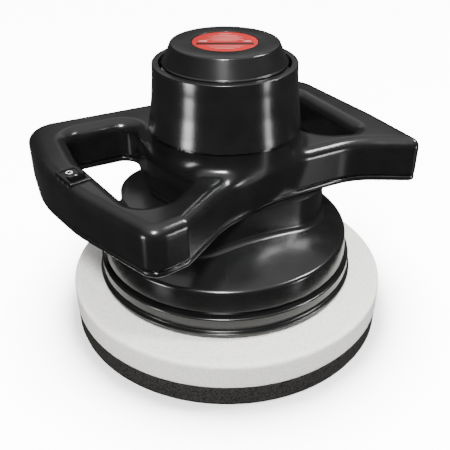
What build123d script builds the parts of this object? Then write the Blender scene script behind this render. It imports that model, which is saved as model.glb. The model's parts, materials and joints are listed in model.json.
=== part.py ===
"""Hand-held orbital car polisher: two D handles round a vertical motor, over a round foam pad.

The motor turns about +Z. The handles lie along X, with the switch in the handle on the -X side.
The origin is the centre of the pad's flat underside. The motor axis stands one orbit radius
behind it, because the pad hangs from an eccentric at the shaft's lower end.
"""

from build123d import *
from math import cos, radians, sin
import os

# ---- Driving dimensions, in millimetres ----

orbit = 3.0                      # distance from the motor axis to the pad axis
pad_r = 121.0                    # foam pad
dark_foam_top = 16.5
white_foam_top = 37.0
plate_r = 88.0                   # backing plate over the foam
plate_top = 40.5

ring_bottom = 39.4               # guard ring round the backing plate
ring_r = 98.9
ring_joint = 53.8                # where the ring meets the base housing
base_r = 94.1
wall = 2.8                       # plastic wall of the big mouldings

grip_bottom = 105.6              # underside of the handles
shell_joint = 110.4              # seam between the lower and upper handle shells
grip_top = 140.2
neck_root_r = 46.2               # round neck that carries the motor housing: at the shell seam,
neck_r = 52.4                    # and at its top
neck_cone_top = 136.0
neck_top = 155.5

bell_lip_r = 54.5                # flared foot of the motor housing
bell_r = 50.0                    # its straight upper part
bell_top = 200.6
cap_base_r = 43.2
cap_face_r = 36.8
overall_height = 213.6
label_r = 22.2

shaft_r = 6.0
stator_low = 125.0
stator_high = 165.0
armature_r = 24.5
air_gap = 0.7
commutator_low = 174.0
commutator_high = 188.0
commutator_r = 12.0
brush_level = 181.0

switch_x = -113.5                # rocker switch, on the flat top of the -X grip
switch_y = -2.5
switch_turn = radians(12)        # it lies along the grip
bezel_x = 15.5
bezel_y = 22.5
bezel_seat = grip_top - 0.7      # the bezel is sunk a little into the grip

motor_y = orbit                  # the motor axis, about which all but the pad is laid out
pad_y = -orbit                   # the pad axis, from the motor axis

# ---- Plan of the handles, about the motor axis: corner points, each with its radius ----

outline_corners = [
    ((-71, -85), 5), ((-93, -92), 12), ((-121, -21), 110), ((-131, 26), 110),
    ((-124, 96.5), 24), ((124, 96.5), 24), ((131.7, -5), 150), ((132.5, -65), 5),
    ((88, -41), 60), ((15, -43), 70), ((-30, -59), 80),
]
drum_corners = [((-76.8, -49), 44), ((76.8, -49), 44), ((76.8, 54), 44), ((-76.8, 54), 44)]
left_hole_corners = [
    ((-100, 69), 14), ((-103, 20), 90), ((-91, -58), 14), ((-68, -58), 16),
    ((-43, -38), 8), ((-57, 8), 40), ((-46, 69), 12),
]
right_hole_corners = [
    ((100, 69), 14), ((101.5, -29), 9), ((76, -20), 22), ((58, 3), 12), ((46, 69), 12),
]

os.makedirs("parts", exist_ok=True)


def save(piece, label):
    """Write one finished piece under its own name."""
    piece.part.label = label
    export_step(piece.part, f"parts/{label}.step")


def level(height, x=0.0, y=0.0):
    """The horizontal plane at a height, centred on the motor axis or beside it."""
    return Plane((x, y + motor_y, height))


def switch_level(height):
    """The horizontal plane at a height, centred on the switch and turned with it."""
    return Plane((switch_x, switch_y + motor_y, height), x_dir=(cos(switch_turn), sin(switch_turn), 0))


def rounded_face(corners, plane, inset=0.0):
    """A closed outline with a radius at every corner, drawn in (or out, if negative) by inset."""
    with BuildSketch(plane) as face:
        with BuildLine():
            FilletPolyline(*[point for point, _ in corners], radius=[r for _, r in corners], close=True)
        make_face()
        if inset:
            offset(amount=-inset)
    return face.sketch


def ring_solid(outer, inner, low, high, x=0.0, y=0.0):
    """A plain ring about the motor axis, or about an axis beside it."""
    with BuildPart() as ring:
        with BuildSketch(level(low, x, y)):
            Circle(outer)
            Circle(inner, mode=Mode.SUBTRACT)
        extrude(amount=high - low)
    return ring


def turned(points, x=0.0, y=0.0):
    """A solid of revolution about the motor axis, or one beside it, from (radius, height) points."""
    with BuildPart() as body:
        with BuildSketch(Plane((x, y + motor_y, 0), x_dir=(1, 0, 0), z_dir=(0, -1, 0))):
            with BuildLine():
                Polyline(*points, close=True)
            make_face()
        revolve(axis=Axis((x, y + motor_y, 0), (0, 0, 1)))
    return body


def around(radius, count, start=0.0):
    """Points evenly spaced on a circle about the motor axis."""
    turns = [radians(start + 360 * i / count) for i in range(count)]
    return [(radius * cos(turn), radius * sin(turn)) for turn in turns]


def screws(places, head_low, head_high, tip, head_r=2.9, shank_r=1.5):
    """Identical screws: a disc head with a cross slot, and a shank from it up or down to the tip."""
    rising = tip > head_high
    shank_start = head_high if rising else head_low
    drive_face = head_low if rising else head_high
    drive_depth = 1.0 if rising else -1.0
    with BuildPart() as group:
        for x, y in places:
            with BuildSketch(level(head_low, x, y)):
                Circle(head_r)
            extrude(amount=head_high - head_low)
            with BuildSketch(level(shank_start, x, y)):
                Circle(shank_r)
            extrude(amount=tip - shank_start)
            with BuildSketch(level(drive_face, x, y)):
                Rectangle(3.4, 0.8)
                Rectangle(0.8, 3.4)
            extrude(amount=drive_depth, mode=Mode.SUBTRACT)
    return group


def ball_bearing(name, bore, outside, low, high, x=0.0, y=0.0, ball_count=8):
    """A deep-groove bearing: two races with a ball groove each, and the balls as one node."""
    pitch_r = (bore + outside) / 2
    ball_r = (outside - bore) * 0.21
    middle = (low + high) / 2
    groove_r = ball_r + 0.04
    races = {
        "inner_race": (pitch_r - ball_r * 0.62, bore),
        "outer_race": (outside, pitch_r + ball_r * 0.62),
    }
    for label, (race_outer, race_inner) in races.items():
        with BuildPart() as race:
            with BuildSketch(level(low, x, y)):
                Circle(race_outer)
                Circle(race_inner, mode=Mode.SUBTRACT)
            extrude(amount=high - low)
            with BuildSketch(Plane((x, y + motor_y, middle), x_dir=(1, 0, 0), z_dir=(0, -1, 0))):
                with Locations((pitch_r, 0)):
                    Circle(groove_r)
            revolve(axis=Axis((x, y + motor_y, 0), (0, 0, 1)), mode=Mode.SUBTRACT)
        save(race, f"{name}_{label}")
    with BuildPart() as balls:
        with Locations(level(middle, x, y)):
            with PolarLocations(pitch_r, ball_count):
                Sphere(ball_r)
    save(balls, f"{name}_balls")


# ---- Foam pad and backing plate: everything that orbits ----

with BuildPart() as foam_pad_lower:
    Cylinder(pad_r, dark_foam_top, align=(Align.CENTER, Align.CENTER, Align.MIN))
    fillet(foam_pad_lower.edges().group_by(Axis.Z)[0], radius=1.5)
save(foam_pad_lower, "foam_pad_lower")

with BuildPart() as foam_pad_upper:
    with BuildSketch(Plane.XY.offset(dark_foam_top)):
        Circle(pad_r)
    extrude(amount=white_foam_top - dark_foam_top)
    fillet(foam_pad_upper.edges().group_by(Axis.Z)[-1], radius=2.5)
save(foam_pad_upper, "foam_pad_upper")

plate_screw_places = around(11.5, 4, 45)
with BuildPart() as backing_plate:
    with BuildSketch(Plane.XY.offset(white_foam_top)):
        Circle(plate_r)
    extrude(amount=plate_top - white_foam_top)
    with BuildSketch(Plane.XY.offset(plate_top)):
        Circle(76)
        Circle(73.5, mode=Mode.SUBTRACT)
        Circle(34)
        Circle(31.5, mode=Mode.SUBTRACT)
        with PolarLocations(54, 12):
            Rectangle(42, 2.4)
    extrude(amount=4)
    with BuildSketch(Plane.XY.offset(plate_top)):
        with PolarLocations(11.5, 4, 45):
            Circle(1.3)
    extrude(amount=-3, mode=Mode.SUBTRACT)
save(backing_plate, "backing_plate")

spindle_bearing_low = 50.0
spindle_bearing_high = 60.0
with BuildPart() as pad_spindle:
    with BuildSketch(Plane.XY.offset(plate_top)):
        Circle(16)
        with PolarLocations(11.5, 4, 45):
            Circle(1.6, mode=Mode.SUBTRACT)
    extrude(amount=3)
    with BuildSketch(Plane.XY.offset(plate_top)):
        Circle(7.6)
    extrude(amount=spindle_bearing_low - plate_top)
    with BuildSketch(Plane.XY.offset(plate_top)):
        Circle(shaft_r)
    extrude(amount=spindle_bearing_high + 2.4 - plate_top)
    with BuildSketch(Plane.XY.offset(spindle_bearing_high + 0.1)):
        Circle(shaft_r)
        Circle(shaft_r - 0.6, mode=Mode.SUBTRACT)
    extrude(amount=1.2, mode=Mode.SUBTRACT)
save(pad_spindle, "pad_spindle")

with BuildPart() as spindle_circlip:
    with BuildSketch(Plane.XY.offset(spindle_bearing_high + 0.2)):
        Circle(8.2)
        Circle(shaft_r - 0.6, mode=Mode.SUBTRACT)
        with Locations((0, 7)):
            Rectangle(4, 6, mode=Mode.SUBTRACT)
    extrude(amount=1.0)
save(spindle_circlip, "spindle_circlip")

spindle_places = [(x, y + pad_y) for x, y in plate_screw_places]
save(screws(spindle_places, plate_top + 3, plate_top + 5, plate_top - 2.5, 2.7, 1.3), "spindle_screws")

ball_bearing("pad_bearing", shaft_r, 16.0, spindle_bearing_low, spindle_bearing_high, 0, pad_y)

# ---- Rotor: everything that turns with the motor shaft ----

with BuildPart() as counterweight:
    with BuildSketch(level(49.5, 0, pad_y)):
        Circle(20)
    extrude(amount=15.5)
    with BuildSketch(level(62.5)):
        Circle(14)
        with BuildLine():
            Line((0, 0), (-44, 20))
            ThreePointArc((-44, 20), (0, 48.3), (44, 20))
            Line((44, 20), (0, 0))
        make_face()
    extrude(amount=8)
    with BuildSketch(level(70.5)):
        Circle(13)
    extrude(amount=6.5)
    with BuildSketch(level(49.5, 0, pad_y)):
        Circle(16)
    extrude(amount=10.5, mode=Mode.SUBTRACT)
    with BuildSketch(level(60, 0, pad_y)):
        Circle(9.5)
    extrude(amount=3.2, mode=Mode.SUBTRACT)
    with BuildSketch(level(64)):
        Circle(shaft_r)
    extrude(amount=13, mode=Mode.SUBTRACT)
    with BuildSketch(Plane((0, motor_y, 73.6), x_dir=(1, 0, 0), z_dir=(0, -1, 0))):
        Circle(1.6)
    extrude(amount=14, mode=Mode.SUBTRACT)
save(counterweight, "counterweight")

with BuildPart() as grub_screw:
    with BuildSketch(Plane((0, motor_y - shaft_r + 0.5, 73.6), x_dir=(1, 0, 0), z_dir=(0, -1, 0))):
        Circle(1.6)
    extrude(amount=7)
save(grub_screw, "counterweight_grub_screw")

lower_bearing_low = 80.0
lower_bearing_high = 90.0
upper_bearing_low = 190.5
upper_bearing_high = 197.5
with BuildPart() as motor_shaft:
    with BuildSketch(level(64.0)):
        Circle(shaft_r)
    extrude(amount=upper_bearing_low - 64.0)
    with BuildSketch(level(upper_bearing_low)):
        Circle(4)
    extrude(amount=upper_bearing_high + 0.5 - upper_bearing_low)
    with BuildSketch(Plane((0, motor_y - shaft_r + 0.5, 73.6), x_dir=(1, 0, 0), z_dir=(0, -1, 0))):
        Circle(3)
    extrude(amount=3, mode=Mode.SUBTRACT)
save(motor_shaft, "motor_shaft")

ball_bearing("lower_bearing", shaft_r, 16.0, lower_bearing_low, lower_bearing_high)
ball_bearing("upper_bearing", 4.0, 11.0, upper_bearing_low, upper_bearing_high, ball_count=7)

blade_count = 14
with BuildPart() as cooling_fan:
    with BuildSketch(level(96)):
        Circle(11)
        Circle(shaft_r, mode=Mode.SUBTRACT)
    extrude(amount=15)
    with BuildSketch(level(97)):
        Circle(41)
        Circle(10, mode=Mode.SUBTRACT)
    extrude(amount=1.8)
    with BuildSketch(level(98)):
        with PolarLocations(30.5, blade_count):
            Rectangle(21, 1.6, rotation=18)
    extrude(amount=10)
save(cooling_fan, "cooling_fan")

slot_count = 12
with BuildPart() as armature_core:
    with BuildSketch(level(stator_low + 1)):
        Circle(armature_r)
        Circle(shaft_r, mode=Mode.SUBTRACT)
        with PolarLocations(20.0, slot_count):
            SlotCenterToCenter(6.0, 4.4, mode=Mode.SUBTRACT)
        with PolarLocations(armature_r, slot_count):
            Rectangle(4, 1.4, mode=Mode.SUBTRACT)
    extrude(amount=stator_high - stator_low - 2)
save(armature_core, "armature_core")

with BuildPart() as armature_windings:
    with BuildSketch(level(116)):
        Circle(21.5)
        Circle(8.5, mode=Mode.SUBTRACT)
    extrude(amount=stator_low + 1 - 116)
    fillet(armature_windings.edges().group_by(Axis.Z)[0], radius=3)
    with BuildSketch(level(stator_high - 1)):
        Circle(21.5)
        Circle(8.5, mode=Mode.SUBTRACT)
    extrude(amount=7.5)
    fillet(armature_windings.edges().group_by(Axis.Z)[-1], radius=3)
    with BuildSketch(level(stator_low)):
        with PolarLocations(20.0, slot_count):
            SlotCenterToCenter(5.2, 3.6)
    extrude(amount=stator_high - stator_low)
save(armature_windings, "armature_windings")

with BuildPart() as commutator:
    with BuildSketch(level(commutator_low)):
        Circle(commutator_r)
        Circle(shaft_r, mode=Mode.SUBTRACT)
    extrude(amount=commutator_high - commutator_low)
    with BuildSketch(level(commutator_low)):
        Circle(commutator_r + 2)
        Circle(shaft_r, mode=Mode.SUBTRACT)
    extrude(amount=1.8)
    with BuildSketch(level(commutator_low + 1.8)):
        with PolarLocations(commutator_r, 24):
            Rectangle(1.6, 0.5)
    extrude(amount=commutator_high - commutator_low, mode=Mode.SUBTRACT)
save(commutator, "commutator")

# ---- Motor parts that stay still ----

pole_half_angle = 33.0
with BuildPart() as stator_core:
    with BuildSketch(level(stator_low)):
        Circle(40)
        Circle(35, mode=Mode.SUBTRACT)
        with PolarLocations(0, 2):
            with BuildLine():
                inner_r = armature_r + air_gap
                half = radians(pole_half_angle)
                Line((inner_r * cos(half), -inner_r * sin(half)), (36 * cos(half), -36 * sin(half)))
                ThreePointArc((36 * cos(half), -36 * sin(half)), (36, 0), (36 * cos(half), 36 * sin(half)))
                Line((36 * cos(half), 36 * sin(half)), (inner_r * cos(half), inner_r * sin(half)))
                ThreePointArc(
                    (inner_r * cos(half), inner_r * sin(half)),
                    (inner_r, 0),
                    (inner_r * cos(half), -inner_r * sin(half)),
                )
            make_face()
    extrude(amount=stator_high - stator_low)
save(stator_core, "stator_core")


def sector(inner, outer, half_angle, facing):
    """A sector of a ring about the motor axis, drawn about the direction it faces."""
    first = radians(facing - half_angle)
    middle = radians(facing)
    last = radians(facing + half_angle)
    with BuildLine() as edge:
        Line((inner * cos(first), inner * sin(first)), (outer * cos(first), outer * sin(first)))
        ThreePointArc(
            (outer * cos(first), outer * sin(first)),
            (outer * cos(middle), outer * sin(middle)),
            (outer * cos(last), outer * sin(last)),
        )
        Line((outer * cos(last), outer * sin(last)), (inner * cos(last), inner * sin(last)))
        ThreePointArc(
            (inner * cos(last), inner * sin(last)),
            (inner * cos(middle), inner * sin(middle)),
            (inner * cos(first), inner * sin(first)),
        )
    return edge


for side, facing in (("left", 180), ("right", 0)):
    with BuildPart() as field_coil:
        with BuildSketch(level(118)):
            with BuildLine():
                add(sector(27.0, 34.7, 56, facing).line)
            make_face()
        extrude(amount=stator_high + 7 - 118)
        with BuildSketch(level(stator_low - 0.2)):
            with BuildLine():
                add(sector(24.0, 38.0, pole_half_angle + 0.6, facing).line)
            make_face()
        extrude(amount=stator_high - stator_low + 0.4, mode=Mode.SUBTRACT)
    save(field_coil, f"field_coil_{side}")

bracket_screw_places = around(38, 4, 0)
with BuildPart() as lower_motor_bracket:
    with BuildSketch(level(84.2)):
        Circle(42)
        Circle(shaft_r + 1.5, mode=Mode.SUBTRACT)
        with PolarLocations(28, 8, 22.5):
            Circle(5, mode=Mode.SUBTRACT)
        with Locations(*bracket_screw_places):
            Circle(1.8, mode=Mode.SUBTRACT)
    extrude(amount=3.8)
    with BuildSketch(level(lower_bearing_low)):
        Circle(19.5)
        Circle(16, mode=Mode.SUBTRACT)
    extrude(amount=lower_bearing_high - lower_bearing_low)
    with BuildSketch(level(84.2)):
        Circle(16)
    extrude(amount=lower_bearing_high - 84.2, mode=Mode.SUBTRACT)
    with BuildSketch(level(lower_bearing_high)):
        Circle(19.5)
        Circle(shaft_r + 1.5, mode=Mode.SUBTRACT)
    extrude(amount=2)
save(lower_motor_bracket, "lower_motor_bracket")
save(screws(bracket_screw_places, 88.0, 90.2, 80.4, 3.0, 1.7), "lower_bracket_screws")

upper_bracket_places = around(41.5, 4, 45)
with BuildPart() as upper_motor_bracket:
    with BuildSketch(level(189.0)):
        Circle(46.2)
        Circle(9.5, mode=Mode.SUBTRACT)
        with PolarLocations(27, 6, 30):
            Circle(5.5, mode=Mode.SUBTRACT)
        with Locations(*upper_bracket_places):
            Circle(1.7, mode=Mode.SUBTRACT)
    extrude(amount=2.6)
    with BuildSketch(level(189.0)):
        Circle(14.5)
        Circle(11.0, mode=Mode.SUBTRACT)
    extrude(amount=upper_bearing_high + 0.8 - 189.0)
    with BuildSketch(level(189.0)):
        Circle(11.0)
        Circle(9.5, mode=Mode.SUBTRACT)
    extrude(amount=upper_bearing_low - 189.0)
    with BuildSketch(level(upper_bearing_low)):
        Circle(11.0)
    extrude(amount=upper_bearing_high + 0.8 - upper_bearing_low, mode=Mode.SUBTRACT)
    with BuildSketch(level(upper_bearing_high + 0.8)):
        Circle(14.5)
        Circle(1.3, mode=Mode.SUBTRACT)
    extrude(amount=6.2)
save(upper_motor_bracket, "upper_motor_bracket")
save(screws(upper_bracket_places, 191.6, 193.4, 182.0, 2.7, 1.4), "upper_bracket_screws")

for side, sign in (("front", -1), ("back", 1)):
    with BuildPart() as brush_holder:
        with BuildSketch(Plane((0, sign * 14 + motor_y, brush_level), x_dir=(1, 0, 0), z_dir=(0, sign, 0))):
            Rectangle(8.6, 9.2)
            Rectangle(6.1, 7.1, mode=Mode.SUBTRACT)
        extrude(amount=20)
        with BuildSketch(Plane((0, sign * 34 + motor_y, brush_level), x_dir=(1, 0, 0), z_dir=(0, sign, 0))):
            Rectangle(8.6, 9.2)
        extrude(amount=1.2)
        with BuildSketch(level(brush_level + 4.6, 0, sign * 26)):
            Rectangle(6, 12)
        extrude(amount=189.0 - brush_level - 4.6)
    save(brush_holder, f"brush_holder_{side}")
    with BuildPart() as carbon_brush:
        brush_end = (0, sign * 11.4 + motor_y, brush_level)
        with BuildSketch(Plane(brush_end, x_dir=(1, 0, 0), z_dir=(0, sign, 0))):
            Rectangle(6.0, 7.0)
        extrude(amount=14.2)
        with BuildSketch(level(brush_level - 5)):
            Circle(commutator_r + 0.06)
        extrude(amount=10, mode=Mode.SUBTRACT)
    save(carbon_brush, f"carbon_brush_{side}")
    with BuildPart() as brush_spring:
        with BuildLine():
            Helix(1.7, 7.3, 2.2, center=(0, sign * 26.3 + motor_y, brush_level), direction=(0, sign, 0))
        with BuildSketch(Plane((2.2, sign * 26.3 + motor_y, brush_level), x_dir=(1, 0, 0), z_dir=(0, 0, 1))):
            Circle(0.28)
        sweep(is_frenet=True)
    save(brush_spring, f"brush_spring_{side}")

# ---- Guard ring and base housing ----

skirt_ring = turned([
    (93.6, ring_bottom), (ring_r - 0.6, ring_bottom), (ring_r, ring_bottom + 0.6),
    (ring_r, ring_bottom + 2.2), (ring_r - 0.6, ring_bottom + 2.8), (95.6, ring_bottom + 2.8),
    (95.6, 46.0), (96.5, 46.4), (97.0, 47.2), (97.0, 53.0), (96.4, ring_joint),
    (91.6, ring_joint), (91.6, 47.4), (93.6, 46.0),
])
save(skirt_ring, "skirt_ring")

tie_screw_places = around(47.0, 4, 45)
motor_opening_r = 43.5
with BuildPart() as drum:
    add(rounded_face(drum_corners, level(80.0)))
    extrude(amount=grip_bottom - 80.0)
    fillet(drum.edges().group_by(Axis.Z)[0], radius=7)

with BuildPart() as base_housing:
    with BuildSketch(Plane((0, motor_y, 0), x_dir=(1, 0, 0), z_dir=(0, -1, 0))):
        with BuildLine():
            Polyline((88.7, 46.5), (91.5, 46.5), (91.5, ring_joint), (92.0, ring_joint), (92.0, 56.6))
            Polyline((92.0, 56.6), (base_r, 56.6), (92.8, 69.4))
            ThreePointArc((92.8, 69.4), (91.9, 72.1), (89.4, 73.4))
            ThreePointArc((89.4, 73.4), (72.0, 79.0), (50.0, 84.2))
            Polyline((50.0, 84.2), (32.0, 84.2), (32.0, 80.0), (54.0, 80.0))
            ThreePointArc((54.0, 80.0), (72.0, 76.0), (87.0, 70.6))
            Polyline((87.0, 70.6), (88.7, 69.0), (88.7, 46.5))
        make_face()
    revolve(axis=Axis((0, motor_y, 0), (0, 0, 1)))
    add(drum.part)
    add(rounded_face(drum_corners, level(84.2), inset=wall))
    extrude(amount=grip_bottom - wall - 84.2, mode=Mode.SUBTRACT)
    with BuildSketch(level(84.2)):
        with Locations(*tie_screw_places):
            Circle(4)
    extrude(amount=grip_bottom - 84.2)
    with BuildSketch(level(grip_bottom)):
        Circle(motor_opening_r)
    extrude(amount=84.2 - grip_bottom, mode=Mode.SUBTRACT)
    with BuildSketch(level(84.2)):
        Circle(32)
        with Locations(*bracket_screw_places):
            Circle(1.75)
    extrude(amount=-10, mode=Mode.SUBTRACT)
    with BuildSketch(level(grip_bottom)):
        with Locations(*tie_screw_places):
            Circle(1.9)
    extrude(amount=-40, mode=Mode.SUBTRACT)
save(base_housing, "base_housing")
save(screws(tie_screw_places, 77.6, 80.0, 171.0, 3.4, 1.8), "tie_screws")

# ---- Handle shells ----

handle_screw_places = [(-110, 82), (-84, -76), (112, 82), (116, -42), (-38, 82), (38, 82)]
hole_outlines = (left_hole_corners, right_hole_corners)
with BuildPart() as handle_lower_shell:
    add(rounded_face(outline_corners, level(shell_joint)))
    extrude(amount=grip_bottom - shell_joint)
    fillet(handle_lower_shell.edges().group_by(Axis.Z)[0], radius=3.2)
    add(rounded_face(outline_corners, level(shell_joint), inset=wall))
    extrude(amount=grip_bottom + 2.2 - shell_joint, mode=Mode.SUBTRACT)
    for corners in hole_outlines:
        add(rounded_face(corners, level(shell_joint), inset=-wall))
        extrude(amount=grip_bottom - shell_joint)
    for corners in hole_outlines:
        add(rounded_face(corners, level(shell_joint)))
        extrude(amount=grip_bottom - shell_joint, mode=Mode.SUBTRACT)
    with BuildSketch(level(shell_joint)):
        with Locations(*handle_screw_places):
            Circle(5.2)
        with Locations(*tie_screw_places):
            Circle(4)
        Circle(neck_root_r)
    extrude(amount=grip_bottom - shell_joint)
    with BuildSketch(level(shell_joint)):
        Circle(motor_opening_r)
        with Locations(*handle_screw_places):
            Circle(1.8)
        with Locations(*tie_screw_places):
            Circle(1.9)
    extrude(amount=grip_bottom - shell_joint, mode=Mode.SUBTRACT)
    with BuildSketch(level(grip_bottom)):
        with Locations(*handle_screw_places):
            Circle(3.4)
    extrude(amount=2.2, mode=Mode.SUBTRACT)
save(handle_lower_shell, "handle_lower_shell")
save(screws(handle_screw_places, grip_bottom, grip_bottom + 2.2, 128.0, 3.2, 1.7), "handle_screws")

gland_height = 127.0
gland_r = 7.0
rear_face = 96.5                 # the flat rear of the handles, from the motor axis
clamp_y = 78.0
clamp_posts = [(-9, clamp_y), (9, clamp_y)]
with BuildPart() as handle_hollow:
    add(rounded_face(outline_corners, level(shell_joint), inset=wall))
    extrude(amount=grip_top - wall - shell_joint)
    for corners in hole_outlines:
        add(rounded_face(corners, level(shell_joint), inset=-wall))
        extrude(amount=grip_top - wall - shell_joint, mode=Mode.SUBTRACT)

neck_solid = turned([
    (0, shell_joint), (neck_root_r, shell_joint), (neck_r, neck_cone_top), (neck_r, neck_top - 1),
    (neck_r - 1, neck_top), (0, neck_top),
])
neck_hollow = turned([
    (0, shell_joint), (neck_root_r - wall, shell_joint), (neck_r - wall, neck_cone_top),
    (neck_r - wall, neck_top - 3.5), (0, neck_top - 3.5),
])
with BuildPart() as handle_upper_shell:
    add(rounded_face(outline_corners, level(shell_joint)))
    extrude(amount=grip_top - shell_joint)
    for corners in hole_outlines:
        add(rounded_face(corners, level(shell_joint)))
        extrude(amount=grip_top - shell_joint, mode=Mode.SUBTRACT)
    fillet(handle_upper_shell.edges().group_by(Axis.Z)[-1], radius=6.5)
    add(handle_hollow.part, mode=Mode.SUBTRACT)
    add(neck_solid.part)
    add(neck_hollow.part, mode=Mode.SUBTRACT)
    with BuildSketch(level(shell_joint)):
        with Locations(*tie_screw_places):
            Circle(4)
    extrude(amount=neck_top - 3.5 - shell_joint)
    with BuildSketch(level(shell_joint)):
        Circle(motor_opening_r)
        with Locations(*tie_screw_places):
            Circle(1.9)
    extrude(amount=neck_top - shell_joint, mode=Mode.SUBTRACT)
    with BuildSketch(level(shell_joint)):
        with Locations(*handle_screw_places):
            Circle(4.4)
    extrude(amount=grip_top - wall - shell_joint)
    with BuildSketch(level(shell_joint)):
        with Locations(*handle_screw_places):
            Circle(1.75)
    extrude(amount=19, mode=Mode.SUBTRACT)
    with BuildSketch(level(gland_height - 3.5)):
        with Locations(*clamp_posts):
            Circle(3.4)
        with Locations(*clamp_posts):
            Circle(1.4, mode=Mode.SUBTRACT)
    extrude(amount=grip_top - wall - gland_height + 3.5)
    with BuildSketch(level(gland_height + 3.6)):
        with Locations((0, clamp_y)):
            Rectangle(12, 3)
    extrude(amount=grip_top - wall - gland_height - 3.6)
    with BuildSketch(switch_level(grip_top)):
        Rectangle(bezel_x - 2.2, bezel_y - 2.4)
    extrude(amount=-wall - 1, mode=Mode.SUBTRACT)
    with BuildSketch(switch_level(grip_top)):
        RectangleRounded(bezel_x + 0.3, bezel_y + 0.3, 1)
    extrude(amount=bezel_seat - grip_top, mode=Mode.SUBTRACT)
    with BuildSketch(Plane((0, rear_face + motor_y + 1, gland_height), x_dir=(1, 0, 0), z_dir=(0, -1, 0))):
        Circle(gland_r)
    extrude(amount=wall + 2, mode=Mode.SUBTRACT)
save(handle_upper_shell, "handle_upper_shell")

# ---- Cord inlet and wiring ----

cord_bore_r = 3.6
gland_length = 12.0
with BuildPart() as cord_gland:
    with BuildSketch(Plane((0, rear_face + motor_y, gland_height), x_dir=(1, 0, 0), z_dir=(0, 1, 0))):
        Circle(9)
    extrude(amount=3)
    with BuildSketch(Plane((0, rear_face + motor_y, gland_height), x_dir=(1, 0, 0), z_dir=(0, -1, 0))):
        Circle(gland_r)
    extrude(amount=gland_length - 3)
    with BuildSketch(Plane((0, rear_face + motor_y - wall, gland_height), z_dir=(0, -1, 0))):
        Circle(8.4)
    extrude(amount=2.5)
    fillet(cord_gland.edges().filter_by(GeomType.CIRCLE).sort_by(Axis.Y)[-1], radius=1.4)
    with BuildSketch(Plane((0, rear_face + motor_y + 3, gland_height), x_dir=(1, 0, 0), z_dir=(0, -1, 0))):
        Circle(cord_bore_r)
    extrude(amount=gland_length, mode=Mode.SUBTRACT)
save(cord_gland, "cord_gland")

with BuildPart() as cord_clamp:
    with BuildSketch(level(gland_height - 3.5)):
        with Locations((0, clamp_y)):
            SlotOverall(27, 7.5)
        with Locations(*clamp_posts):
            Circle(1.6, mode=Mode.SUBTRACT)
    extrude(amount=-3)
save(cord_clamp, "cord_clamp")
clamp_screws = screws(clamp_posts, gland_height - 8.6, gland_height - 6.5, gland_height + 4, 2.8, 1.4)
save(clamp_screws, "cord_clamp_screws")

floor_height = grip_bottom + 2.2
with BuildPart() as capacitor:
    with BuildSketch(level(floor_height, 24, 80)):
        RectangleRounded(17, 9, 1)
    extrude(amount=15)
save(capacitor, "suppression_capacitor")

with BuildPart() as terminal_block:
    with BuildSketch(level(floor_height, -22, 78)):
        Rectangle(18, 12)
    extrude(amount=8)
    with BuildSketch(level(floor_height + 8, -22, 78)):
        with GridLocations(5.6, 1, 3, 1):
            Circle(1.7)
    extrude(amount=-4, mode=Mode.SUBTRACT)
save(terminal_block, "terminal_block")

lead_r = 1.1
blade_tip = bezel_seat - 22.7
lead_y = 75.0
for name, blade_offset, lead_z in (("brown", -3, 110.0), ("blue", 3, 113.0)):
    blade_x = switch_x + blade_offset * cos(switch_turn)
    blade_y = switch_y + blade_offset * sin(switch_turn)
    route = [
        (blade_x, blade_y, blade_tip), (blade_x, blade_y, lead_z), (blade_x, lead_y, lead_z),
        (-31, lead_y, lead_z),
    ]
    with BuildPart() as lead:
        with BuildLine():
            FilletPolyline(*[(x, y + motor_y, z) for x, y, z in route], radius=[2.2, 12])
        with BuildSketch(Plane((blade_x, blade_y + motor_y, blade_tip), z_dir=(0, 0, -1))):
            Circle(lead_r)
        sweep()
    save(lead, f"switch_lead_{name}")

# ---- Rocker switch ----

bezel_height = 1.6
rocker_width = 10.5
rocker_length = 17.2
rocker_tilt = 11.0
pivot_height = bezel_seat - 2.0
pivot_line = (cos(switch_turn), sin(switch_turn), 0)
with BuildPart() as switch_body:
    with BuildSketch(switch_level(bezel_seat)):
        RectangleRounded(bezel_x, bezel_y, 1)
    extrude(amount=bezel_height)
    chamfer(switch_body.edges().group_by(Axis.Z)[-1], length=0.5)
    with BuildSketch(switch_level(bezel_seat)):
        Rectangle(bezel_x - 2.4, bezel_y - 2.6)
    extrude(amount=-15)
    with BuildSketch(switch_level(bezel_seat + bezel_height)):
        Rectangle(rocker_width + 0.6, rocker_length + 1.0)
    extrude(amount=-(bezel_height + 7.6), mode=Mode.SUBTRACT)
    with BuildSketch(Plane((switch_x, switch_y + motor_y, pivot_height), z_dir=pivot_line)):
        Circle(1.55)
    extrude(amount=rocker_width / 2 + 1.3, both=True, mode=Mode.SUBTRACT)
save(switch_body, "switch_body")

with BuildPart() as switch_terminals:
    with BuildSketch(switch_level(bezel_seat - 15)):
        with GridLocations(6, 1, 2, 1):
            Rectangle(0.8, 4.8)
    extrude(amount=-7.7)
save(switch_terminals, "switch_terminals")

tilt = radians(-rocker_tilt)
rocker_plane = Plane(
    (switch_x, switch_y + motor_y, pivot_height),
    x_dir=(-sin(switch_turn) * cos(tilt), cos(switch_turn) * cos(tilt), sin(tilt)),
    z_dir=pivot_line,
)
with BuildPart() as rocker_button:
    with BuildSketch(rocker_plane):
        with BuildLine():
            Polyline(
                (-rocker_length / 2 + 0.5, 4.8), (0, 3.3), (rocker_length / 2 - 0.5, 4.8), (7.6, 0.5),
                (4.0, -3.0), (-4.0, -3.0), (-7.6, 0.5),
                close=True,
            )
        make_face()
    extrude(amount=rocker_width / 2, both=True)
    with BuildSketch(rocker_plane):
        Circle(1.5)
    extrude(amount=rocker_width / 2 + 1.1, both=True)
save(rocker_button, "rocker_button")

# ---- Motor housing and cap ----

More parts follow.
